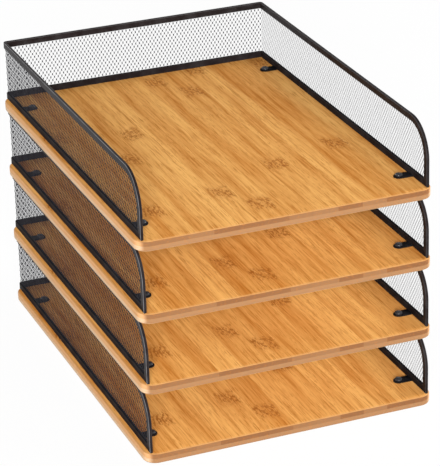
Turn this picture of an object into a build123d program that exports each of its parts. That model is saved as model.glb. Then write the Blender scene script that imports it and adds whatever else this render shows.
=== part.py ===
"""Stack of letter trays: bamboo boards with three-sided walls of expanded steel in folded strips.

Millimetres, +Z up, the open fronts towards -Y.  The origin is the middle of the lowest board's
underside.  One tray is modelled on the ground, and the stack repeats it at the height of a tray.
"""
import os

from build123d import *

os.makedirs("parts", exist_ok=True)

# ---- Driving dimensions -------------------------------------------------------------------------
tray_count = 4

board_width = 250.0            # X, over the long edges
board_depth = 345.0            # Y, front edge to back edge
board_thickness = 9.0
board_corner_radius = 11.0     # in plan
board_edge_bevel = 1.3         # along the upper and lower edges

wall_height = 52.0             # board's top face to the rim's top
side_inset = 3.5               # board's long edge to the wall's outer face
back_inset = 1.5               # board's back edge to the wall's outer face
front_inset = 3.0              # board's front edge to the tips of the side walls
front_curve_radius = 30.0      # where the rim turns down at the front

strip_metal = 0.8              # one leaf of the folded strip
strip_height = 5.5             # face of the rim and of the rail
sheet_thickness = 0.8          # expanded steel between the two leaves
sheet_clearance = 0.05         # all round the sheet inside the fold

cell_width = 29.0              # diamond pattern, along the wall
cell_rows = 1.0                # diamonds, one above the other, from rail to rim
strand_width = 2.2             # steel left between two neighbouring diamonds
corner_margin = 3.6            # plain sheet beside each back corner

tab_reach = 14.5               # rail's inner face to the tab's round end
tab_width = 9.0
tab_thickness = 1.2
tab_hole_clearance = 0.3       # round the screw's shank
front_tab_distance = 30.0      # front tip of the wall to the tab's centre line
back_tab_distance = 33.0       # back wall's inner face to the tab's centre line

screw_head_diameter = 6.6
screw_head_height = 1.9
screw_shank_diameter = 3.0
screw_length = 8.0             # below the head
pilot_clearance = 0.03         # round the shank in the board
pilot_spare_depth = 0.4        # below the screw's end
head_sides = 12                # flats that stand for the round of a head or a tab's end
shank_sides = 8                # flats that stand for the round of a shank and its holes

# ---- Sizes that follow --------------------------------------------------------------------------
board_top = board_thickness
rim_top = board_top + wall_height
tray_pitch = rim_top

fold_gap = sheet_thickness + 2 * sheet_clearance
strip_thickness = 2 * strip_metal + fold_gap
sheet_inset = strip_metal + sheet_clearance
rail_top = board_top + strip_height

outer_x = board_width / 2 - side_inset
outer_back = board_depth / 2 - back_inset
outer_front = front_inset - board_depth / 2
inner_x = outer_x - strip_thickness
inner_back = outer_back - strip_thickness
past = board_width + board_depth         # long enough to cut right through a tray

window_height = wall_height - 2 * strip_height
cell_height = window_height / cell_rows

shank_radius = screw_shank_diameter / 2
screw_x = inner_x - tab_reach + tab_width / 2
tab_rows = (outer_front + front_tab_distance, inner_back - back_tab_distance)
screw_places = [(side * screw_x, row) for row in tab_rows for side in (-1, 1)]


# ---- Shapes that several pieces share -----------------------------------------------------------
def wall_plan(inset, mode=Mode.ADD):
    """Plan inside the wall's three faces, set in from the outermost ones, open to the front."""
    with Locations((0, outer_back - inset)):
        Rectangle(2 * (outer_x - inset), past, align=(Align.CENTER, Align.MAX), mode=mode)


def side_outline(inset, foot):
    """Side view of the wall: upright leg, front curve and level top, set in from the rim's edge."""
    front = outer_front + inset
    top = rim_top - inset
    with BuildLine() as outline:
        edge = FilletPolyline((front, foot), (front, top), (past, top),
                              radius=front_curve_radius - inset)
        Polyline(edge @ 1, (past, foot), edge @ 0)
    make_face(outline.edges())


def wall_layer(inset, thickness, edge_inset, foot):
    """One upright layer of the wall, bent round the tray and cut to the wall's side view."""
    with BuildPart() as layer:
        with BuildSketch(Plane.XY.offset(board_top)):
            wall_plan(inset)
            wall_plan(inset + thickness, mode=Mode.SUBTRACT)
        extrude(amount=wall_height)
        with BuildSketch(Plane.YZ):
            side_outline(edge_inset, foot)
        extrude(amount=past, both=True, mode=Mode.INTERSECT)
    return layer.part


def back_run(wall):
    """The length of a wall that lies between the mitres of the two back corners."""
    with BuildPart() as run:
        add(wall)
        for side in (-1, 1):
            corner = (side * outer_x, outer_back, 0)
            mitre = Plane(origin=corner, x_dir=(0, 0, 1), z_dir=(-side, 1, 0))
            split(bisect_by=mitre, keep=Keep.TOP)
    return run.part


def left_run(wall):
    """The length of a wall on the tray's left side, mitred at the back corner."""
    with BuildPart() as run:
        add(wall)
        split(bisect_by=Plane.YZ, keep=Keep.BOTTOM)
        mitre = Plane(origin=(-outer_x, outer_back, 0), x_dir=(0, 0, 1), z_dir=(1, 1, 0))
        split(bisect_by=mitre, keep=Keep.BOTTOM)
    return run.part


def mirrored(piece):
    """The same piece on the tray's other side."""
    with BuildPart() as other:
        add(mirror(piece, about=Plane.YZ, mode=Mode.PRIVATE))
    return other.part


def diamonds(run):
    """Staggered rows of diamonds on both sides of the origin, over `run` millimetres of wall.

    Each row is half a diamond above the last and half a diamond along, and each diamond is
    smaller than its cell so that a strand of one width stays between neighbours.
    """
    flat_to_flat = cell_width * cell_height / (cell_width ** 2 + cell_height ** 2) ** 0.5
    opening = 1 - strand_width / flat_to_flat
    across = cell_width / 2 * opening
    up = cell_height / 2 * opening
    cells = 2 * round(run / cell_width / 2) + 1
    rows = round(2 * cell_rows)
    for row in range(rows + 1):
        height = rail_top + row * cell_height / 2
        with Locations((row % 2 * cell_width / 2, height)):
            with GridLocations(cell_width, 1, cells, 1):
                Polygon((-across, 0), (0, -up), (across, 0), (0, up))


# ---- Board --------------------------------------------------------------------------------------
with BuildPart() as bamboo_board:
    with BuildSketch():
        RectangleRounded(board_width, board_depth, board_corner_radius)
    extrude(amount=board_thickness)
    chamfer(bamboo_board.faces().filter_by(Axis.Z).edges(), board_edge_bevel)
    with BuildSketch(Plane.XY.offset(board_top)):
        with Locations(*screw_places):
            RegularPolygon(shank_radius + pilot_clearance, shank_sides)
    extrude(amount=tab_thickness - screw_length - pilot_spare_depth, mode=Mode.SUBTRACT)

# ---- Folded strips: the rim over the top and the front ends, the rail along the board ------------
fold = wall_layer(strip_metal, fold_gap, strip_metal, board_top + strip_metal)

with BuildPart() as rim:
    add(wall_layer(0, strip_thickness, 0, board_top))
    with BuildSketch(Plane.YZ):
        side_outline(strip_height, board_top)
    extrude(amount=past, both=True, mode=Mode.SUBTRACT)
    with BuildSketch(Plane.YZ):
        Polygon((outer_front, board_top), (outer_front + strip_height, board_top),
                (outer_front + strip_height, rail_top), align=None)
    extrude(amount=past, both=True, mode=Mode.SUBTRACT)
    add(fold, mode=Mode.SUBTRACT)

with BuildPart() as rail:
    add(wall_layer(0, strip_thickness, 0, board_top))
    with BuildSketch(Plane.YZ):
        Polygon((outer_front, board_top), (outer_front + strip_height, rail_top),
                (past, rail_top), (past, board_top), align=None)
    extrude(amount=past, both=True, mode=Mode.INTERSECT)
    add(fold, mode=Mode.SUBTRACT)

# ---- Expanded steel -----------------------------------------------------------------------------
sheet = wall_layer(sheet_inset, sheet_thickness, sheet_inset, board_top + sheet_inset)

with BuildPart() as back_sheet:
    add(back_run(sheet))
    with BuildSketch(Plane.XZ.offset(-outer_back)):
        diamonds(2 * outer_x)
        with Locations((0, rail_top)):
            Rectangle(2 * (outer_x - corner_margin), window_height,
                      align=(Align.CENTER, Align.MIN), mode=Mode.INTERSECT)
    extrude(amount=strip_thickness, mode=Mode.SUBTRACT)

with BuildPart() as left_sheet:
    add(left_run(sheet))
    with BuildSketch(Plane.YZ):
        diamonds(2 * outer_back)
        with BuildSketch(mode=Mode.INTERSECT):
            side_outline(strip_height, rail_top)
            with Locations((outer_back - corner_margin, rail_top)):
                Rectangle(past, window_height, align=Align.MIN, mode=Mode.SUBTRACT)
    extrude(amount=-past, mode=Mode.SUBTRACT)

# ---- Tabs and screws ----------------------------------------------------------------------------
with BuildPart() as tabs:
    with BuildSketch(Plane.XY.offset(board_top)):
        for x, y in screw_places:
            out = 1 if x > 0 else -1
            with Locations((x, y)):
                RegularPolygon(tab_width / 2, head_sides, major_radius=False)
                Rectangle(inner_x - screw_x, tab_width,
                          align=(Align.MIN if out > 0 else Align.MAX, Align.CENTER))
        with Locations(*screw_places):
            RegularPolygon(shank_radius + tab_hole_clearance, shank_sides, mode=Mode.SUBTRACT)
    extrude(amount=tab_thickness)

with BuildPart() as screws:
    with BuildSketch(Plane.XY.offset(board_top + tab_thickness)):
        with Locations(*screw_places):
            RegularPolygon(screw_head_diameter / 2, head_sides)
    extrude(amount=screw_head_height)
    with BuildSketch(Plane.XY.offset(board_top + tab_thickness)):
        with Locations(*screw_places):
            RegularPolygon(shank_radius, shank_sides)
    extrude(amount=-screw_length)

# ---- One tray, then the stack -------------------------------------------------------------------
tray = {
    "bamboo_board": bamboo_board.part,
    "mesh_back": back_sheet.part,
    "mesh_left": left_sheet.part,
    "mesh_right": mirrored(left_sheet.part),
    "rim_back": back_run(rim.part),
    "rim_left": left_run(rim.part),
    "rim_right": mirrored(left_run(rim.part)),
    "rail_back": back_run(rail.part),
    "rail_left": left_run(rail.part),
    "rail_right": mirrored(left_run(rail.part)),
    "mounting_tabs": tabs.part,
    "tab_screws": screws.part,
}

for number in range(1, tray_count + 1):
    place = Location((0, 0, (number - 1) * tray_pitch))
    for name, piece in tray.items():
        stacked = piece.moved(place)
        stacked.label = f"{name}_{number}"
        export_step(stacked, f"parts/{stacked.label}.step")
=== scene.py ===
"""Stack of letter trays: bamboo boards with three-sided walls of expanded steel in folded strips.

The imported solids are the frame: every size of the shapes below is read from them or is a small
detail that they leave out.  Metres, +Z up, the open fronts towards -Y.
"""

import bpy
import numpy as np
from mathutils import Matrix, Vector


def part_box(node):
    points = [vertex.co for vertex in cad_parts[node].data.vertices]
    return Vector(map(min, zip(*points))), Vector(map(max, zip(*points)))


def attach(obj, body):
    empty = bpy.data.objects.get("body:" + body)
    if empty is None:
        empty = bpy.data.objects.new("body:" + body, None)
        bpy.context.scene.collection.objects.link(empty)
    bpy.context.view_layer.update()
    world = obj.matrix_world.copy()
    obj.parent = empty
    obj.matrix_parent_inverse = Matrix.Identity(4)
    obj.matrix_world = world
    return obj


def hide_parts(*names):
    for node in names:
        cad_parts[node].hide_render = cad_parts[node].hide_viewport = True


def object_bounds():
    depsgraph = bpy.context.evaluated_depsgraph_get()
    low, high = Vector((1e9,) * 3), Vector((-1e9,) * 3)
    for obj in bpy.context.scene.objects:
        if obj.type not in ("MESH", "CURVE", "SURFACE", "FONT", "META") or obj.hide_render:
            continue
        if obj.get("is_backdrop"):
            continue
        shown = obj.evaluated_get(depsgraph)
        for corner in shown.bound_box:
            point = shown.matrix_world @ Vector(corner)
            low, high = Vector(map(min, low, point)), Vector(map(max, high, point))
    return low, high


bl_info = {
    "name": "Letter tray stack",
    "version": (1, 0, 0),
    "blender": (4, 5, 0),
    "location": "View3D > Sidebar > Tray Stack",
    "description": "Bamboo letter trays with walls of expanded steel, round the packed solids",
    "category": "Object",
}

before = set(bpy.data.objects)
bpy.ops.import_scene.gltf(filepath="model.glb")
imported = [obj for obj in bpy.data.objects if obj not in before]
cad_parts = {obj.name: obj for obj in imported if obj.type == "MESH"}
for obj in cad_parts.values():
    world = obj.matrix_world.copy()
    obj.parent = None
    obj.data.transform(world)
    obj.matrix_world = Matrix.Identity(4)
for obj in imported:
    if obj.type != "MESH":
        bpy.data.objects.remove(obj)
CAD_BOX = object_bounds()
MM = 0.001


def corners(node):
    """Lowest and highest corner of a solid as arrays."""
    low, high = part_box(node)
    return np.array(low), np.array(high)


TRAYS = range(1, 1 + sum(name.startswith("bamboo_board_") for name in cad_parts))
BOARD_LOW, BOARD_HIGH = corners("bamboo_board_1")
RIM_LOW, RIM_HIGH = corners("rim_left_1")
RAIL_HIGH = corners("rail_left_1")[1]
TAB_LOW, TAB_HIGH = corners("mounting_tabs_1")
SCREW_LOW, SCREW_HIGH = corners("tab_screws_1")
PITCH = corners("bamboo_board_2")[0][2] - BOARD_LOW[2]

BOARD_TOP = BOARD_HIGH[2]
RIM_TOP = RIM_HIGH[2]
OUTER_X = -RIM_LOW[0]                       # outer faces of the two side walls
OUTER_FRONT = RIM_LOW[1]                    # tips of the side walls
OUTER_BACK = RIM_HIGH[1]                    # outer face of the back wall
STRIP_THICKNESS = RIM_HIGH[0] - RIM_LOW[0]
STRIP_HEIGHT = RAIL_HIGH[2] - BOARD_TOP
WALLS = ("back", "left", "right")           # ends of the names of a wall's solids

# Pan head of a screw: share of its radius, at a share of its height.
PAN_HEAD = ((0.96, 0), (1, 0.10), (1, 0.30), (0.965, 0.55), (0.87, 0.76), (0.72, 0.90))

FLOOR_RADIUS, FLOOR_SIDES = 20, 96
FLOOR_DROP = 0.2 * MM                       # from the lowest board, so that the two don't touch
FLOOR_GLOW = 0.92                           # share of the floor's white that takes no shadow


# ---- Sizes and colours that a user would change -------------------------------------------------
def length(name, description, default):
    """A length, with its default in millimetres."""
    return bpy.props.FloatProperty(name=name, description=description, default=default * MM,
                                   unit="LENGTH", subtype="DISTANCE", precision=5)


def angle(name, description, default):
    """An angle, with its default in degrees."""
    return bpy.props.FloatProperty(name=name, description=description,
                                   default=np.radians(default), unit="ROTATION", subtype="ANGLE")


def colour(name, description, default):
    """A linear colour."""
    return bpy.props.FloatVectorProperty(name=name, description=description, default=default,
                                         size=3, subtype="COLOR", min=0, max=1)


def number(name, description, default, unit="NONE"):
    """A number without a unit, or in watts or in a lens's millimetres."""
    return bpy.props.FloatProperty(name=name, description=description, default=default, unit=unit)


class BoardSettings(bpy.types.PropertyGroup):
    """Bamboo boards."""
    corner_radius: length("Corner radius", "Corners of the board in plan", 11)
    edge_radius: length("Edge radius", "Rounding of the upper and lower edges", 1.6)
    strip_width: length("Strip width", "Width of one glued bamboo strip", 20.8)
    ply: length("Top ply", "Thickness of the upper layer, seen on the front edge", 4.6)
    light: colour("Light bamboo", "Palest strips", (0.83, 0.44, 0.132))
    dark: colour("Dark bamboo", "Darkest strips", (0.53, 0.19, 0.031))
    fibre: colour("Fibre", "Dark streaks of the grain", (0.39, 0.126, 0.015))
    mark: colour("Mark", "Short marks where the cane's joints cross a strip", (0.3, 0.088, 0.012))
    joint: colour("Joint", "Wood beside a joint of the cane", (0.42, 0.14, 0.022))
    # Painted shade: the eased edges are darkened where the lamps light their rounding.
    lip: colour("Eased edge", "Rounded upper and lower edges", (0.35, 0.18, 0.068))
    raw: colour("Raw bamboo", "Duller wood of the underside", (0.45, 0.42, 0.36))
    end_upper: colour("Upper end grain", "Upper layer on the front and back", (0.165, 0.073, 0.031))
    end_lower: colour("Lower end grain", "Lower layer on the front and back", (0.25, 0.132, 0.062))
    side_upper: colour("Upper side grain", "Upper layer on the long sides", (0.54, 0.295, 0.135))
    side_lower: colour("Lower side grain", "Lower layer on the long sides", (0.54, 0.37, 0.23))


class StripSettings(bpy.types.PropertyGroup):
    """Folded steel strips along the rim and the foot of the wall."""
    metal: length("Metal", "One leaf of the folded strip", 0.65)
    fold_radius: length("Fold radius", "Rounding of the fold's two edges", 0.5)
    lip: length("Lip", "Easing of the leaves' free edges", 0.22)
    curve_radius: length("Front curve", "Where the rim turns down at the front", 30)
    bend_radius: length("Corner bend", "Outer radius of the bends at the back corners", 3.2)
    seam: length("Seam", "Gap between rim and rail at the front tips", 0.12)
    paint: colour("Powder coat", "Colour of the strips", (0.011, 0.008, 0.008))
    # Painted highlight on the strips' marked edges, partly scuffed paint; the coats' faint pale
    # clouds use this colour too.
    worn_and_highlit: colour("Worn edge", "Colour of rubbed edges", (0.52, 0.52, 0.55))


class MeshSettings(bpy.types.PropertyGroup):
    """Expanded steel of the walls."""
    cell_width: length("Cell width", "From bond to bond along the wall", 3.41)
    cell_height: length("Cell height", "From bond to bond up the wall", 5.35)
    bond_width: length("Bond width", "Width of the metal where two strands meet", 0.85)
    bond_height: length("Bond height", "Height of the metal where two strands meet", 1.65)
    strand: length("Strand", "Width of one strand", 0.12)
    metal: length("Metal", "Thickness of the sheet", 0.13)
    tilt: number("Tilt", "Depth across the bond for its width, from the stretching", 0.17)
    left_tilt: number("Left tilt", "The same on the left wall, leaning the other way", -0.37)
    margin: length("Margin", "Outline of the wall to the nearest bond's middle", 2.6)
    coat: colour("Mesh coat", "Colour of the expanded steel", (0.014, 0.014, 0.018))


class FittingSettings(bpy.types.PropertyGroup):
    """Mounting tabs and screws."""
    tab_width: length("Tab width", "Width of the tab and its round end", 9)
    tab_bevel: length("Tab bevel", "Rounding of the tab's upper edge", 0.4)
    head_diameter: length("Head", "Diameter of the screw's head", 6.6)
    shank_diameter: length("Shank", "Diameter of the screw's shank", 3.0)
    recess_length: length("Recess", "Middle of the cross recess to the tip of an arm", 1.75)
    recess_width: length("Recess arm", "Width of an arm of the cross recess", 0.8)
    tab_coat: colour("Tab", "Colour of the tabs", (0.004, 0.004, 0.005))
    screw_black: colour("Screw", "Colour of the screws", (0.022, 0.022, 0.025))


class StageSettings(bpy.types.PropertyGroup):
    """Camera, floor and light."""
    place: bpy.props.FloatVectorProperty(
        name="Camera place", description="Where the camera stands",
        default=(-0.686269, -1.796946, 0.955483), unit="LENGTH", subtype="TRANSLATION")
    azimuth: angle("Azimuth", "Camera's turn about the upright axis", -21.1427)
    elevation: angle("Elevation", "Camera's angle above the horizon", 23.7866)
    roll: angle("Roll", "Camera's turn about its own axis", -1.7533)
    lens: number("Lens", "Focal length for the picture's long side", 192.209, "CAMERA")
    ambient: number("Ambient", "Light from all round", 0.25)
    front_light: number("Front light", "Power of the large low light in front", 330, "POWER")
    side_light: number("Side light", "Power of the low light on the right", 156, "POWER")
    back_light: number("Back light", "Power of the light behind on the left", 48, "POWER")


# ---- Meshes as whole arrays ---------------------------------------------------------------------
def volume(points, faces):
    """Six times the signed volume: triple products over each face's fan from its first corner."""
    total = 0.0
    for rows in faces:
        fan = points[rows]
        first = np.repeat(fan[:, :1], rows.shape[1] - 2, axis=1)
        total += np.einsum("fki,fki->", first, np.cross(fan[:, 1:-1], fan[:, 2:]))
    return total


def outward(points, faces):
    """The faces of a closed shape, all turned round where they face inwards."""
    return faces if volume(points, faces) > 0 else [rows[:, ::-1] for rows in faces]


def make_mesh(name, points, faces, material, sharp, highlight_and_wear):
    """A mesh from points and arrays of faces, one array for each number of corners.

    It is smooth but for edges that turn by more than `sharp` degrees; at 0 every face is flat.
    """
    mesh = bpy.data.meshes.new(name)
    loops = np.concatenate([rows.ravel() for rows in faces]).astype(np.int32)
    sizes = np.concatenate([np.full(len(rows), rows.shape[1]) for rows in faces])
    mesh.vertices.add(len(points))
    mesh.vertices.foreach_set("co", points.astype(np.float32).ravel())
    mesh.loops.add(len(loops))
    mesh.loops.foreach_set("vertex_index", loops)
    mesh.polygons.add(len(sizes))
    mesh.polygons.foreach_set("loop_start", (np.cumsum(sizes) - sizes).astype(np.int32))
    mesh.update(calc_edges=True)
    if mesh.validate():
        raise RuntimeError(f"{name} has faces that don't fit its points")
    mesh.polygons.foreach_set("use_smooth", np.full(len(sizes), sharp > 0))
    if sharp > 0:
        mesh.set_sharp_from_angle(angle=np.radians(sharp))
    # The strips' painted highlight, partly scuffed paint, goes into the attribute 'edge'.
    if highlight_and_wear is not None:
        edge = mesh.attributes.new("edge", "FLOAT", "POINT")
        edge.data.foreach_set("value", highlight_and_wear.astype(np.float32))
    mesh.materials.append(material)
    return mesh


def put_on_tray(k, name, shape, material, nodes, sharp=35.0, highlight_and_wear=None):
    """A finished piece of tray k, which rides on that tray and stands for its solids there."""
    points, faces = shape
    lifted = points + np.array((0, 0, (k - 1) * PITCH))
    mesh = make_mesh(f"{name}_{k}", lifted, outward(points, faces), material, sharp, highlight_and_wear)
    piece = bpy.data.objects.new(f"{name}_{k}", mesh)
    bpy.context.scene.collection.objects.link(piece)
    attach(piece, f"tray_{k}")
    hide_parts(*(f"{node}_{k}" for node in nodes))


def tube_faces(rings, count):
    """Quads between neighbouring rings of `count` points, and one face over each end."""
    ring = np.arange(count)
    step = np.roll(ring, -1)
    start = count * np.arange(rings - 1)[:, None]
    after = start + count
    quads = np.stack([start + ring, start + step, after + step, after + ring], axis=-1)
    caps = np.stack([ring[::-1], ring + count * (rings - 1)])
    return [quads.reshape(-1, 4), caps]


def together(parts):
    """Several closed shapes as one array of points and one list of face arrays."""
    points, faces, start = [], {}, 0
    for part_points, part_faces in parts:
        for rows in outward(part_points, part_faces):
            faces.setdefault(rows.shape[1], []).append(rows + start)
        points.append(part_points)
        start += len(part_points)
    return np.concatenate(points), [np.concatenate(rows) for rows in faces.values()]


def arc(start, end, count):
    """Cosine and sine of evenly spaced angles in degrees, both ends included."""
    turn = np.radians(np.linspace(start, end, count))
    return np.cos(turn), np.sin(turn)


# ---- Board --------------------------------------------------------------------------------------
def board_shape(low, high, corner, edge, corner_steps=13, edge_steps=8):
    """A board: a rounded rectangle drawn in by the section's step, at the section's height.

    Plan: a quarter circle of `corner` minus the step about each corner's centre.  Section: a
    quarter circle of `edge` below, an upright side, and a quarter circle of `edge` above.
    """
    cos, sin = arc(0, 90, edge_steps)
    inward = edge * (1 - np.concatenate([cos[::-1], cos]))
    height = np.concatenate([low[2] + edge * (1 - sin[::-1]), high[2] - edge * (1 - sin)])
    centres = np.array([(high[0], high[1]), (low[0], high[1]), (low[0], low[1]), (high[0], low[1])])
    centres = centres - corner * np.sign(centres - (low + high)[:2] / 2)
    quarters = [arc(90 * k, 90 * k + 90, corner_steps) for k in range(len(centres))]
    cos, sin = np.stack(quarters, axis=1)
    radius = (corner - inward)[:, None, None]
    x = centres[:, 0][None, :, None] + radius * cos[None]
    y = centres[:, 1][None, :, None] + radius * sin[None]
    z = np.broadcast_to(height[:, None, None], x.shape)
    points = np.stack([x, y, z], axis=-1).reshape(-1, 3)
    return points, tube_faces(len(height), x[0].size)


# ---- Folded strips ------------------------------------------------------------------------------
def fold_profile(strip):
    """Section of a folded strip: (inwards from its outer face, away from its folded edge).

    A closed line round both leaves: quarter circles of the fold radius at the fold, eased lips at
    the free edges, and the slot between the leaves that holds the sheet.  The third value of each
    point is its share of painted highlight, which also passes for scuffed paint: most on the outer
    corner of the fold, a little on the inner one and on the lips.
    """
    thick, high, leaf = STRIP_THICKNESS, STRIP_HEIGHT, strip.metal
    r, e = strip.fold_radius, strip.lip
    # Painted highlight on the rounding of the fold's outer corner, strongest towards the outer
    # face; partly scuffed paint.
    highlight_and_wear = (0, 0.3, 0.45, 0.25, 0, 0)
    inner_highlight_and_wear = np.linspace(0, 0.07, len(highlight_and_wear))
    cos, sin = arc(180, 270, len(highlight_and_wear))
    near = np.column_stack([r + r * cos, r + r * sin, highlight_and_wear])
    far = np.column_stack([thick - near[::-1, 0], near[::-1, 1], inner_highlight_and_wear])
    top = np.array([(thick / 2, 0, 0.0)])
    face = np.array([(0, high - e, 0.08), (0, high - 3 * e, 0), (0, r + 2 * e, 0)])
    lip = np.array([(thick - e, high, 0.05), (thick - leaf + e, high, 0.05),
                    (thick - leaf, high - e, 0)])
    slot = np.array([(thick - leaf, leaf + e, 0), (thick - leaf - e, leaf, 0),
                     (leaf + e, leaf, 0), (leaf, leaf + e, 0)])
    other_face, other_lip = (line[::-1] * (-1, 1, 1) + (thick, 0, 0) for line in (face, lip))
    return np.concatenate([face, near, top, far, other_face, lip, slot, other_lip])


def both_sides(place, inward, down):
    """A run along the left half of the wall, followed by its mirror image back along the right."""
    flip = np.array((-1, 1, 1))
    return tuple(np.concatenate([half, half[-2::-1] * flip]) for half in (place, inward, down))


def bend_and_back(strip, height, bend_steps=9, back_steps=6):
    """Plan of the last part of a left run: round the corner bend, then to the middle of the back.

    The bend is a quarter circle of the bend radius; inwards is towards its centre.
    """
    r = strip.bend_radius
    cos, sin = arc(180, 90, bend_steps)
    x = np.concatenate([r - OUTER_X + r * cos, np.linspace(r - OUTER_X, 0, back_steps + 1)[1:]])
    y = np.concatenate([OUTER_BACK - r + r * sin, np.full(back_steps, OUTER_BACK)])
    inward = np.column_stack([-cos, -sin, np.zeros(bend_steps)])
    return (np.column_stack([x, y, np.full(len(x), height)]),
            np.concatenate([inward, np.tile((0.0, -1, 0), (back_steps, 1))]))


def rim_run(strip, leg_steps=3, curve_steps=25, top_steps=10):
    """Folded edge of the rim: up the leg, a quarter circle to the level top, back, bend, across."""
    r, back = strip.curve_radius, OUTER_BACK - strip.bend_radius
    cos, sin = arc(180, 90, curve_steps)
    y = np.concatenate([np.full(leg_steps, OUTER_FRONT), OUTER_FRONT + r + r * cos,
                        np.linspace(OUTER_FRONT + r, back, top_steps + 2)[1:-1]])
    z = np.concatenate([np.linspace(BOARD_TOP, RIM_TOP - r, leg_steps + 1)[:-1],
                        RIM_TOP - r + r * sin, np.full(top_steps, RIM_TOP)])
    down_y = np.concatenate([np.ones(leg_steps), -cos, np.zeros(top_steps)])
    down_z = np.concatenate([np.zeros(leg_steps), -sin, -np.ones(top_steps)])
    place = np.column_stack([np.full(len(y), -OUTER_X), y, z])
    inward = np.tile((1.0, 0, 0), (len(y), 1))
    down = np.column_stack([np.zeros(len(y)), down_y, down_z])
    bend, bend_inward = bend_and_back(strip, RIM_TOP)
    return both_sides(np.concatenate([place, bend]), np.concatenate([inward, bend_inward]),
                      np.concatenate([down, np.tile((0.0, 0, -1), (len(bend), 1))]))


def rail_run(strip, steps=15):
    """Folded edge of the rail: level along the board from the tip, bend, across the back."""
    y = np.linspace(OUTER_FRONT, OUTER_BACK - strip.bend_radius, steps + 1)[:-1]
    place = np.column_stack([np.full(steps, -OUTER_X), y, np.full(steps, BOARD_TOP)])
    bend, bend_inward = bend_and_back(strip, BOARD_TOP)
    place = np.concatenate([place, bend])
    inward = np.concatenate([np.tile((1.0, 0, 0), (steps, 1)), bend_inward])
    return both_sides(place, inward, np.tile((0.0, 0, 1), (len(place), 1)))


def folded_strip(profile, run, tip_along, seam):
    """A profile carried along a run: place + inward * across + down * height at every station.

    The two end stations are sheared along the run by the height, which is the mitre of the front
    tips, and moved back by the seam.
    """
    place, inward, down = run
    across, height, highlight_and_wear = profile.T
    points = (place[:, None] + inward[:, None] * across[None, :, None]
              + down[:, None] * height[None, :, None])
    points[[0, -1]] += (height[:, None] + seam) * np.array(tip_along)
    return points.reshape(-1, 3), tube_faces(len(place), len(profile)), np.tile(highlight_and_wear, len(place))


# ---- Expanded steel -----------------------------------------------------------------------------
def wall_point(along, height, depth, bend):
    """Point of the wall at a distance along its middle, a height and a depth inwards.

    Distance 0 is the middle of the back.  Straight, then a quarter turn about the bend's centre,
    then straight to the front.
    """
    side, way = np.sign(along), np.abs(along)
    mid = bend - STRIP_THICKNESS / 2
    straight = OUTER_X - bend
    turn = np.clip((way - straight) / mid, 0, np.pi / 2)
    rest = np.clip(way - straight - mid * np.pi / 2, 0, None)
    x = np.minimum(way, straight) + (bend - depth) * np.sin(turn)
    y = OUTER_BACK - bend + (bend - depth) * np.cos(turn) - rest
    return np.stack([side * x, y, height], axis=-1)


def bond_lattice(sheet, strip):
    """Middles of the bonds: every second point of a grid of half cells, inside the wall's outline.

    The outline is drawn in by the margin, with the rim's front curve.  The table that comes with
    the distances along and up the wall has each bond's number at its column and row of the grid,
    and -1 elsewhere and all round.
    """
    step_x, step_z = sheet.cell_width / 2, sheet.cell_height / 2
    bend, margin, r = strip.bend_radius, sheet.margin, strip.curve_radius
    reach = OUTER_X + OUTER_BACK - OUTER_FRONT
    columns, rows = int(reach / step_x), int((RIM_TOP - BOARD_TOP) / step_z / 2)
    i, j = np.meshgrid(np.arange(-columns, columns + 1), np.arange(-rows, rows + 1), indexing="ij")
    along, height = i * step_x, (RIM_TOP + BOARD_TOP) / 2 + j * step_z
    y = wall_point(along, height, STRIP_THICKNESS / 2, bend)[..., 1]
    curve = np.hypot(np.minimum(y - OUTER_FRONT - r, 0), np.maximum(height - RIM_TOP + r, 0))
    length_left = reach - (4 - np.pi) / 2 * bend - np.abs(along)      # the bend cuts the corner
    inside = ((i + j) % 2 == 0) & (length_left > margin) & (curve < r - margin)
    inside &= (height < RIM_TOP - margin) & (height > BOARD_TOP + margin)
    table = np.full((i.shape[0] + 2, i.shape[1] + 2), -1)
    table[1:-1, 1:-1][inside] = np.arange(inside.sum())
    return along[inside], height[inside], table


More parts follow.
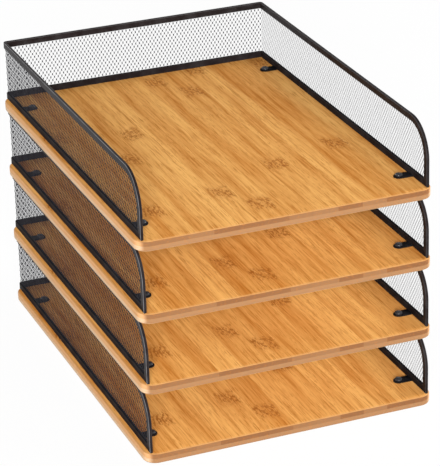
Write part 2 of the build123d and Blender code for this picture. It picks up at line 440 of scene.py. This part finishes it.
def expanded_sheet(sheet, strip):
    """Expanded steel: bonds on a staggered lattice, each joined to its four diagonal neighbours.

    A bond is an eight-sided plate whose slanted sides are the mouths of four strands.  A strand is
    the bar between two facing mouths.  The depth leans with the place across the bond, as the
    stretching leaves it, and by a tilt of its own on the left wall.  A mouth without a neighbour
    is closed.
    """
    along, height, table = bond_lattice(sheet, strip)
    w, h = sheet.bond_width / 2, sheet.bond_height / 2
    step_x, step_z = sheet.cell_width / 2, sheet.cell_height / 2
    slant = np.array((step_z, -step_x)) / np.hypot(step_x, step_z) * sheet.strand   # along a mouth
    q, p = w - slant[0], h + slant[1]
    across = np.array([w, w, q, -q, -w, -w, -q, q])
    up = np.array([-p, p, h, h, p, -p, -h, -h])
    left_wall = along[:, None] < strip.bend_radius - OUTER_X
    lean = np.where(left_wall, sheet.left_tilt, sheet.tilt) * across
    sides = [wall_point(along[:, None] + across, height[:, None] + up,
                        STRIP_THICKNESS / 2 + side * sheet.metal / 2 + lean, strip.bend_radius)
             for side in (1, -1)]
    points = np.concatenate(sides, axis=1).reshape(-1, 3)

    rear = len(across)                      # from a corner of the front to the one behind it
    each = 2 * rear                         # points of one bond
    bonds = each * np.arange(len(along))
    plate = bonds[:, None] + np.arange(rear)
    plates = np.concatenate([plate, plate[:, ::-1] + rear])

    def wall(a, b):
        """Quads from the front edge a-b to the rear one."""
        return np.stack([a, a + rear, b + rear, b], axis=-1)

    quads = [wall(bonds + a, bonds + a + 1) for a in (0, 2, 4, 6)]
    i, j = np.nonzero(table >= 0)
    mouths = {1: (1, 2, 6, 5), -1: (3, 4, 0, 7)}    # a bond's upper mouth, its neighbour's lower
    for way, (a1, a2, b1, b2) in mouths.items():
        above, below = table[i + way, j + 1], table[i - way, j - 1]
        joined = above >= 0
        a, b = bonds[joined], each * above[joined]
        quads.append(np.stack([a + a1, b + b1, b + b2, a + a2], axis=-1))
        quads.append(np.stack([a + a2, b + b2, b + b1, a + a1], axis=-1) + rear)
        quads += [wall(a + a1, b + b1), wall(b + b2, a + a2)]
        open_above, open_below = bonds[~joined], bonds[below < 0]
        quads += [wall(open_above + a1, open_above + a2), wall(open_below + b2, open_below + b1)]
    return points, [plates, np.concatenate(quads)]


# ---- Tabs and screws ----------------------------------------------------------------------------
def tab_shape(fitting, x, y, end_steps=25, bevel_steps=5):
    """A flat tab: a half circle at its free end, straight sides into the rail, rounded on top.

    Each ring is that outline drawn in by the section's step, at the section's height.
    """
    eased, hidden = 0.05 * MM, 0.3 * MM     # lower edge; how far the tab goes into the rail
    side, half, bevel = np.sign(x), fitting.tab_width / 2, fitting.tab_bevel
    cos, sin = arc(0, 90, bevel_steps)
    step = np.concatenate([[eased, 0], bevel * (1 - cos)])
    height = np.concatenate([[TAB_LOW[2], TAB_LOW[2] + eased], TAB_HIGH[2] - bevel * (1 - sin)])
    cos, sin = arc(90, 270, end_steps)
    radius = (half - step)[:, None]
    ring_x = x + side * radius * np.concatenate([[1], cos, [1]])
    ring_x[:, [0, -1]] = side * (TAB_HIGH[0] + hidden)
    ring_y = y + radius * np.concatenate([[1], sin, [-1]])
    z = np.broadcast_to(height[:, None], ring_x.shape)
    return np.stack([ring_x, ring_y, z], axis=-1).reshape(-1, 3), tube_faces(*ring_x.shape)


def screw_shape(fitting, x, y, turn):
    """A pan-head screw: rings about its axis, the innermost two drawn as a cross.

    A cross's edge is the arm's length over the cosine near an arm's axis, and half the arm's width
    over the sine beyond, so it turns in at 45 degrees.
    """
    low, base, top = SCREW_LOW[2], TAB_HIGH[2], SCREW_HIGH[2]
    head, shank, rise = fitting.head_diameter / 2, fitting.shank_diameter / 2, top - base
    arm, half = fitting.recess_length, fitting.recess_width / 2
    tip = np.degrees(np.arctan2(half, arm))
    between = (tip + 45) / 2
    quarter = np.array([0, tip, between, 45, 90 - between, 90 - tip])
    around = np.radians((quarter + 90 * np.arange(4)[:, None]).ravel())
    off = np.abs((around + np.pi / 4) % (np.pi / 2) - np.pi / 4)      # from the nearest arm's axis
    tiny = 1e-9                             # keeps the division and the test clear of rounding
    cross = np.where(off < np.radians(tip) + tiny, arm / np.cos(off),
                     half / np.maximum(np.sin(off), tiny))
    crown = np.maximum(cross + 0.1 * MM, 0.5 * head)
    point = 1.6 * MM                        # the shank narrows to a quarter over this height
    ones = np.ones_like(around)

    # Shank from its point up, the head's side and dome, then the crown, the recess and its floor.
    rings = [(0.25 * shank * ones, low), (shank * ones, low + point), (shank * ones, base)]
    rings += [(share * head * ones, base + up * rise) for share, up in PAN_HEAD]
    rings += [(crown, base + 0.985 * rise), (cross, top), (0.6 * cross, base + 0.25 * rise)]
    radius = np.array([ring for ring, _ in rings])
    z = np.broadcast_to(np.array([height for _, height in rings])[:, None], radius.shape)
    around = around + np.radians(turn)
    points = np.stack([x + radius * np.cos(around), y + radius * np.sin(around), z], axis=-1)
    return points.reshape(-1, 3), tube_faces(*radius.shape)


def tab_places(fitting):
    """Middle of each tab's round end, and how many degrees its screw is turned."""
    x = SCREW_HIGH[0] - fitting.head_diameter / 2
    front, back = TAB_LOW[1] + fitting.tab_width / 2, TAB_HIGH[1] - fitting.tab_width / 2
    return (-x, front, 17), (x, front, 58), (-x, back, 80), (x, back, 35)


# ---- Materials ----------------------------------------------------------------------------------
class Wire:
    """One value on its way through the nodes; arithmetic on it adds Math nodes."""

    def __init__(self, recipe, socket):
        self.recipe, self.socket = recipe, socket

    def __add__(self, other):
        return self.recipe.math("ADD", self, other)

    def __sub__(self, other):
        return self.recipe.math("SUBTRACT", self, other)

    def __rsub__(self, other):
        return self.recipe.math("SUBTRACT", other, self)

    def __mul__(self, other):
        return self.recipe.math("MULTIPLY", self, other)

    def __truediv__(self, other):
        return self.recipe.math("DIVIDE", self, other)

    def __mod__(self, other):
        return self.recipe.math("FLOORED_MODULO", self, other)

    def __abs__(self):
        return self.recipe.math("ABSOLUTE", self)

    __radd__, __rmul__ = __add__, __mul__

    def floor(self):
        """The whole number below."""
        return self.recipe.math("FLOOR", self)

    def ease(self, low, high):
        """0 up to `low`, 1 from `high`, smooth between; falls where `low` is the larger."""
        if low > high:
            return 1 - self.ease(high, low)
        return self.recipe.node("ShaderNodeMapRange", {"interpolation_type": "SMOOTHSTEP"},
                                {"Value": self, "From Min": low, "From Max": high})


class Recipe:
    """The nodes of a material or a world round its shader, and the one way to add to them."""

    def __init__(self, owner, shader="Principled BSDF"):
        owner.use_nodes = True
        self.owner, self.tree = owner, owner.node_tree
        self.shader = self.tree.nodes[shader]

    def node(self, kind, settings=None, sockets=None, output=0):
        """Adds a node, sets its settings, then fills its sockets with values or links."""
        node = self.tree.nodes.new(kind)
        for key, value in (settings or {}).items():
            if key == "stops":
                while len(node.color_ramp.elements) < len(value):
                    node.color_ramp.elements.new(1.0)
                for element, (position, tone) in zip(node.color_ramp.elements, value):
                    element.position, element.color = position, (*tone, 1.0)
            elif key == "stepped":
                node.color_ramp.interpolation = "CONSTANT"
            else:
                setattr(node, key, value)
        for key, value in (sockets or {}).items():
            self.fill(node.inputs[key], value)
        return Wire(self, node.outputs[output])

    def fill(self, socket, value):
        """A link, or a constant on the socket itself."""
        if isinstance(value, Wire):
            self.tree.links.new(value.socket, socket)
        elif socket.type == "RGBA":
            socket.default_value = (*value, 1.0)
        else:
            socket.default_value = value

    def finish(self, **sockets):
        """Fills the shader's sockets, named with _ for a space, and returns the owner."""
        for key, value in sockets.items():
            self.fill(self.shader.inputs[key.replace("_", " ")], value)
        return self.owner

    def math(self, operation, *values, clamp=False):
        """A Math node on values in the order of its sockets."""
        return self.node("ShaderNodeMath", {"operation": operation, "use_clamp": clamp},
                         dict(enumerate(values)))

    def parts(self, vector):
        """The x, y and z of a vector."""
        outputs = self.node("ShaderNodeSeparateXYZ", None, {0: vector}).socket.node.outputs
        return [Wire(self, output) for output in outputs]

    def place(self):
        """Object coordinates as x, y and z."""
        return self.parts(self.node("ShaderNodeTexCoord", output="Object"))

    def point(self, x, y, z):
        """A vector of three values."""
        return self.node("ShaderNodeCombineXYZ", None, {0: x, 1: y, 2: z})

    def noise(self, where, scale=1.0, detail=2.0, rough=0.5):
        """Soft noise, about 0 to 1."""
        return self.node("ShaderNodeTexNoise", None, {"Vector": where, "Scale": scale,
                                                      "Detail": detail, "Roughness": rough}, "Fac")

    def chance(self, where):
        """An even random value for each whole number."""
        return self.node("ShaderNodeTexWhiteNoise", {"noise_dimensions": "1D"}, {"W": where})

    def mix(self, factor, first, second):
        """Colours: first at factor 0, second at factor 1."""
        return self.node("ShaderNodeMix", {"data_type": "RGBA"},
                         {0: factor, 6: first, 7: second}, output=2)

    def bump(self, height, distance, strength):
        """A surface tilted by a height times a distance in metres."""
        return self.node("ShaderNodeBump", None,
                         {"Height": height, "Distance": distance, "Strength": strength})

    def seen(self):
        """1 for what the camera, a reflection or a clear part sees, 0 for light on the object."""
        rays = self.node("ShaderNodeLightPath").socket.node.outputs
        camera, glossy, through = (Wire(self, rays[name]) for name in (
            "Is Camera Ray", "Is Glossy Ray", "Is Transmission Ray"))
        return self.math("MAXIMUM", self.math("MAXIMUM", camera, glossy), through)


def bamboo(board):
    """Glued bamboo strips under a satin lacquer: fibres, cane joints, plies and end grain."""
    r = Recipe(bpy.data.materials.new("bamboo"))
    x, y, z = r.place()
    strip_x = (x - BOARD_LOW[0]) / board.strip_width
    strip, nearness = strip_x.floor(), abs(strip_x % 1.0 - 0.5)     # 0.5 at a strip's two edges

    def spots(across, along, seed, detail, rough=0.5):
        """Noise in plan, so many to the metre each way, another on every strip."""
        return r.noise(r.point(x * across, y * along, strip * seed), 1.0, detail, rough)

    fibre_x = x + spots(60, 12, 3.7, 1.0) * 0.0026                  # fibres wave by up to 2.6 mm

    def fibres(across, along, up, seed, detail, rough=0.5):
        """The same, but along the waving fibres and with a third number for the way up."""
        where = r.point(fibre_x * across + strip * seed, y * along, z * up)
        return r.noise(where, 1.0, detail, rough)

    # Upper face: each strip's tone, then its streaks, fine fibres, short dashes and glue lines.
    broad = fibres(90, 3.5, 60, 7.3, 2.0)
    streaks = fibres(500, 16, 200, 7.3, 3.0, 0.6)
    fine = fibres(1250, 50, 600, 3.1, 2.0, 0.6)
    dashes = r.noise(r.point(fibre_x * 1500, y * 110 + strip * 5.7, z * 900), 1.0, 1.0)
    patches = spots(30, 14, 9.1, 1.0)
    tone = r.chance(strip + 0.5) * 0.28 + broad * 1.6
    wood = r.mix(r.math("ADD", tone, streaks * 1.3 - 1.22, clamp=True), board.light, board.dark)
    for share in (streaks.ease(0.54, 0.74) * 0.50,
                  fine.ease(0.52, 0.70) * 0.60,
                  dashes.ease(0.62, 0.72) * patches.ease(0.42, 0.60) * 0.60,
                  nearness.ease(0.487, 0.5) * 0.35):
        wood = r.mix(share, wood, board.fibre)

    # Joints of the cane: a darker halo and broken marks within 19 mm of their crooked lines.
    marks = spots(700, 210, 2.3, 3.0, 0.7)
    crooked = spots(130, 60, 4.9, 2.0) - 0.5
    first, second = (abs(y + crooked * 0.024 - row) for row in board_joints(r, strip))
    cane_joint = first.ease(0.0155, 0.006) + second.ease(0.0155, 0.006)
    halo = first.ease(0.019, 0.004) + second.ease(0.019, 0.004)
    inside = (nearness + crooked * 0.25).ease(0.5, 0.36)
    wood = r.mix(halo * inside * 0.22, wood, board.joint)
    wood = r.mix(cane_joint * inside * marks.ease(0.47, 0.57) * 0.78, wood, board.mark)

    # Edges, told apart by the surface's direction: end grain or side grain in two plies.
    normal_x, _, up = r.parts(r.node("ShaderNodeTexCoord", output="Normal"))
    side, normal_z = abs(normal_x).ease(0.45, 0.85), abs(up)
    lip, flank = normal_z.ease(0.999, 0.93), normal_z.ease(0.62, 0.38)
    split, blur = BOARD_TOP - BOARD_LOW[2] - board.ply, 0.3 * MM
    lower = (z % PITCH).ease(split + blur, split - blur)
    grain = r.noise(r.point(x * 500, y * 30, z * 900), 1.0, 2.0, 0.6)
    ends = r.mix(r.chance(strip + 9.5) * 0.55, board.end_upper, board.end_lower)
    edge = r.mix(lower, r.mix(side, ends, board.side_upper),
                 r.mix(side, board.end_lower, board.side_lower))
    edge = r.mix(grain.ease(0.48, 0.75) * 0.32, edge, board.fibre)
    wood = r.mix(up.ease(0.0, -0.5) * 0.85, wood, board.raw)
    # Painted shade on the eased edges, which takes down the lamps' light on their rounding.
    wood = r.mix(lip * 0.75, wood, board.lip)
    wood = r.mix(flank, wood, edge)
    return r.finish(Base_Color=wood, Roughness=0.34 + 0.16 * fine, Specular_IOR_Level=0.01,
                    Normal=r.bump(streaks * -0.5 + fine * -0.6, 0.05 * MM, 0.5))


def board_joints(r, strip):
    """Where the cane's joints cross each strip: two rows of places along Y, from stepped ramps.

    A place is a share of the reach from the board's front edge.  A share of 1 lies past its back
    edge, so that strip has no joint in that row.
    """
    reach = 0.42
    rows = ((0.55, 0.125, 0.387, 0.511, 0.156, 0.073, 0.768, 0.239, 0.801, 1.0, 0.287, 0.78),
            (1.0, 1.0, 1.0, 1.0, 1.0, 1.0, 1.0, 0.68, 1.0, 1.0, 1.0, 1.0))
    for row in rows:
        stops = [(k / len(row), (share,) * 3) for k, share in enumerate(row)]
        share = r.node("ShaderNodeValToRGB", {"stops": stops, "stepped": True},
                       {"Fac": (strip + 0.5) / len(row)})
        yield share * reach + BOARD_LOW[1]


def powder_coat(name, paint, worn_and_highlit, rubbed_and_highlit=False, gloss=0.03, rough=0.26):
    """Satin black powder coat: orange peel, faint pale clouds, and on edges where marked a painted
    highlight that also passes for scuffed paint.
    """
    r = Recipe(bpy.data.materials.new(name))
    where = r.point(*r.place())
    clouds = r.noise(where, 90, 3.0, 0.6)
    peel = r.noise(where, 1400, 1.0)
    tone = r.mix(clouds.ease(0.35, 0.75) * 0.02, paint, worn_and_highlit)
    if rubbed_and_highlit:
        # Painted highlight: the marked edges take the pale colour, standing in for light on them as
        # well as for scuffs.
        edge = r.node("ShaderNodeAttribute", {"attribute_name": "edge"}, output="Fac")
        rub_and_highlight = edge * (0.6 + 0.4 * r.noise(where, 120, 2.0, 0.6).ease(0.35, 0.65))
        tone = r.mix(rub_and_highlight * 0.9, tone, worn_and_highlit)
    return r.finish(Base_Color=tone, Roughness=rough + 0.16 * clouds, Specular_IOR_Level=gloss,
                    Normal=r.bump(peel, 0.03 * MM, 0.5))


def floor_white():
    """A pale matt floor, white to the eye and in reflections but for a little shadow."""
    r = Recipe(bpy.data.materials.new("floor"))
    r.finish(Base_Color=(0.9, 0.9, 0.9), Roughness=0.9)
    glow = r.node("ShaderNodeEmission", None, {"Color": (1, 1, 1), "Strength": 1.0})
    mixed = r.node("ShaderNodeMixShader", None, {
        0: r.seen() * FLOOR_GLOW, 1: Wire(r, r.shader.outputs[0]), 2: glow})
    r.fill(r.tree.nodes["Material Output"].inputs["Surface"], mixed)
    return r.owner


# ---- Operators ----------------------------------------------------------------------------------
class TRAYS_OT_boards(bpy.types.Operator):
    """Make the bamboo boards"""
    bl_idname = "trays.boards"
    bl_label = "Boards"

    def execute(self, context):
        board = context.scene.tray_board
        shape = board_shape(BOARD_LOW, BOARD_HIGH, board.corner_radius, board.edge_radius)
        wood = bamboo(board)
        for k in TRAYS:
            put_on_tray(k, "board", shape, wood, ["bamboo_board"], sharp=60)
        return {"FINISHED"}


class TRAYS_OT_walls(bpy.types.Operator):
    """Make the expanded steel of the walls"""
    bl_idname = "trays.walls"
    bl_label = "Expanded steel"

    def execute(self, context):
        sheet, strip = context.scene.tray_mesh, context.scene.tray_strip
        shape = expanded_sheet(sheet, strip)
        coat = powder_coat("coated_mesh", sheet.coat, strip.worn_and_highlit)
        for k in TRAYS:
            put_on_tray(k, "expanded_mesh", shape, coat, [f"mesh_{wall}" for wall in WALLS],
                        sharp=0)
        return {"FINISHED"}


class TRAYS_OT_strips(bpy.types.Operator):
    """Make the folded strips: rims over the walls and rails along the boards"""
    bl_idname = "trays.strips"
    bl_label = "Rims and rails"

    def execute(self, context):
        strip = context.scene.tray_strip
        profile = fold_profile(strip)
        # The rail's profile with much less of the painted highlight, partly scuffed paint.
        less_worn_and_highlit = profile * (1, 1, 0.15)
        rim = folded_strip(profile, rim_run(strip), (0, 0, 1), 0)
        rail = folded_strip(less_worn_and_highlit, rail_run(strip), (0, 1, 0), strip.seam)
        coat = powder_coat("coated_rim", strip.paint, strip.worn_and_highlit, rubbed_and_highlit=True)
        dull = powder_coat("coated_rail", strip.paint, strip.worn_and_highlit, rubbed_and_highlit=True,
                           gloss=0.006, rough=0.32)
        for k in TRAYS:
            for name, (*shape, highlight_and_wear), material in (("rim", rim, coat), ("rail", rail, dull)):
                put_on_tray(k, f"{name}_strip", shape, material,
                            [f"{name}_{wall}" for wall in WALLS], highlight_and_wear=highlight_and_wear)
        return {"FINISHED"}


class TRAYS_OT_fittings(bpy.types.Operator):
    """Make the mounting tabs and their screws"""
    bl_idname = "trays.fittings"
    bl_label = "Tabs and screws"

    def execute(self, context):
        fitting, worn_and_highlit = context.scene.tray_fitting, context.scene.tray_strip.worn_and_highlit
        places = tab_places(fitting)
        tabs = together([tab_shape(fitting, x, y) for x, y, _ in places])
        screws = together([screw_shape(fitting, x, y, turn) for x, y, turn in places])
        coat = powder_coat("coated_tab", fitting.tab_coat, worn_and_highlit, gloss=0.004, rough=0.16)
        black = powder_coat("screw_black", fitting.screw_black, worn_and_highlit, gloss=0.16, rough=0.12)
        for k in TRAYS:
            put_on_tray(k, "tabs", tabs, coat, ["mounting_tabs"])
            put_on_tray(k, "screws", screws, black, ["tab_screws"])
        return {"FINISHED"}


def stand(name, data, place, columns):
    """A camera or a lamp at a place, turned so that its axes are the columns."""
    item = bpy.data.objects.new(name, data)
    bpy.context.scene.collection.objects.link(item)
    item.matrix_world = Matrix.Translation(place) @ Matrix(columns.tolist()).to_4x4()
    return item


def camera_turn(azimuth, elevation, roll):
    """Columns right, up and back: back points from the object to the camera, then the roll."""
    back = np.array((np.sin(azimuth) * np.cos(elevation), -np.cos(azimuth) * np.cos(elevation),
                     np.sin(elevation)))
    right = np.cross(-back, (0, 0, 1))
    right /= np.linalg.norm(right)
    up = np.cross(right, -back)
    cos, sin = np.cos(roll), np.sin(roll)
    return np.column_stack([right * cos + up * sin, up * cos - right * sin, back])


def soft_light(name, place, aim, size, power):
    """A square area light at `place`, turned to `aim`."""
    light = bpy.data.lights.new(name, "AREA")
    light.energy, light.size = power, size
    back = np.array(place, float) - aim
    back /= np.linalg.norm(back)
    right = np.cross((0, 0, 1), back)
    right /= np.linalg.norm(right)
    stand(name, light, place, np.column_stack([right, np.cross(back, right), back]))


class TRAYS_OT_stage(bpy.types.Operator):
    """Set up the camera, the floor and the light"""
    bl_idname = "trays.stage"
    bl_label = "Stage"

    def execute(self, context):
        scene, stage = context.scene, context.scene.tray_stage
        scene.view_settings.view_transform = "Standard"

        lens = bpy.data.cameras.new("camera")
        lens.lens = stage.lens
        scene.camera = stand("camera", lens, stage.place,
                             camera_turn(stage.azimuth, stage.elevation, stage.roll))

        around = Recipe(bpy.data.worlds.new("studio"), "Background")
        strength = around.node("ShaderNodeMapRange", None,
                               {"Value": around.seen(), "To Min": stage.ambient})
        scene.world = around.finish(Color=(1, 1, 1), Strength=strength)

        turn = np.linspace(0, 2 * np.pi, FLOOR_SIDES, endpoint=False)
        rim = np.column_stack([FLOOR_RADIUS * np.cos(turn), FLOOR_RADIUS * np.sin(turn),
                               np.full(FLOOR_SIDES, -FLOOR_DROP)])
        mesh = bpy.data.meshes.new("floor")
        mesh.from_pydata(rim.tolist(), [], [list(range(FLOOR_SIDES))])
        mesh.materials.append(floor_white())
        floor = bpy.data.objects.new("floor", mesh)
        scene.collection.objects.link(floor)
        floor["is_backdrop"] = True

        middle = (0, 0, 0.12)
        soft_light("front", (-1.5, -3.92, 1.48), middle, 1.4, stage.front_light)
        soft_light("side", (3.45, -0.6, 0.75), middle, 1.4, stage.side_light)
        soft_light("back", (-1.6, 3.2, 1.5), middle, 1.0, stage.back_light)
        return {"FINISHED"}


class TRAYS_PT_panel(bpy.types.Panel):
    """Buttons for the pieces and the stage"""
    bl_idname = "TRAYS_PT_panel"
    bl_label = "Tray Stack"
    bl_space_type = "VIEW_3D"
    bl_region_type = "UI"
    bl_category = "Tray Stack"

    def draw(self, context):
        for name, (_, operator) in GROUPS.items():
            box = self.layout.box()
            settings = getattr(context.scene, name)
            for key in settings.bl_rna.properties.keys():
                if key not in ("rna_type", "name"):
                    box.prop(settings, key)
            box.operator(operator.bl_idname)


# A property of the scene, its settings and the operator that reads them.
GROUPS = {
    "tray_board": (BoardSettings, TRAYS_OT_boards),
    "tray_mesh": (MeshSettings, TRAYS_OT_walls),
    "tray_strip": (StripSettings, TRAYS_OT_strips),
    "tray_fitting": (FittingSettings, TRAYS_OT_fittings),
    "tray_stage": (StageSettings, TRAYS_OT_stage),
}
CLASSES = [*(item for pair in GROUPS.values() for item in pair), TRAYS_PT_panel]


def register():
    """Adds the classes and the settings."""
    for item in CLASSES:
        bpy.utils.register_class(item)
    for name, (settings, _) in GROUPS.items():
        setattr(bpy.types.Scene, name, bpy.props.PointerProperty(type=settings))


def unregister():
    """Takes them out again."""
    for name in GROUPS:
        delattr(bpy.types.Scene, name)
    for item in reversed(CLASSES):
        bpy.utils.unregister_class(item)


def main():
    """Makes every piece and the stage."""
    register()
    bpy.ops.trays.boards()
    bpy.ops.trays.walls()
    bpy.ops.trays.strips()
    bpy.ops.trays.fittings()
    bpy.ops.trays.stage()
    boxes = {"cad": CAD_BOX, "visual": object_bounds()}
    {name: [list(corner) for corner in box] for name, box in boxes.items()}


if __name__ == "__main__":
    main()
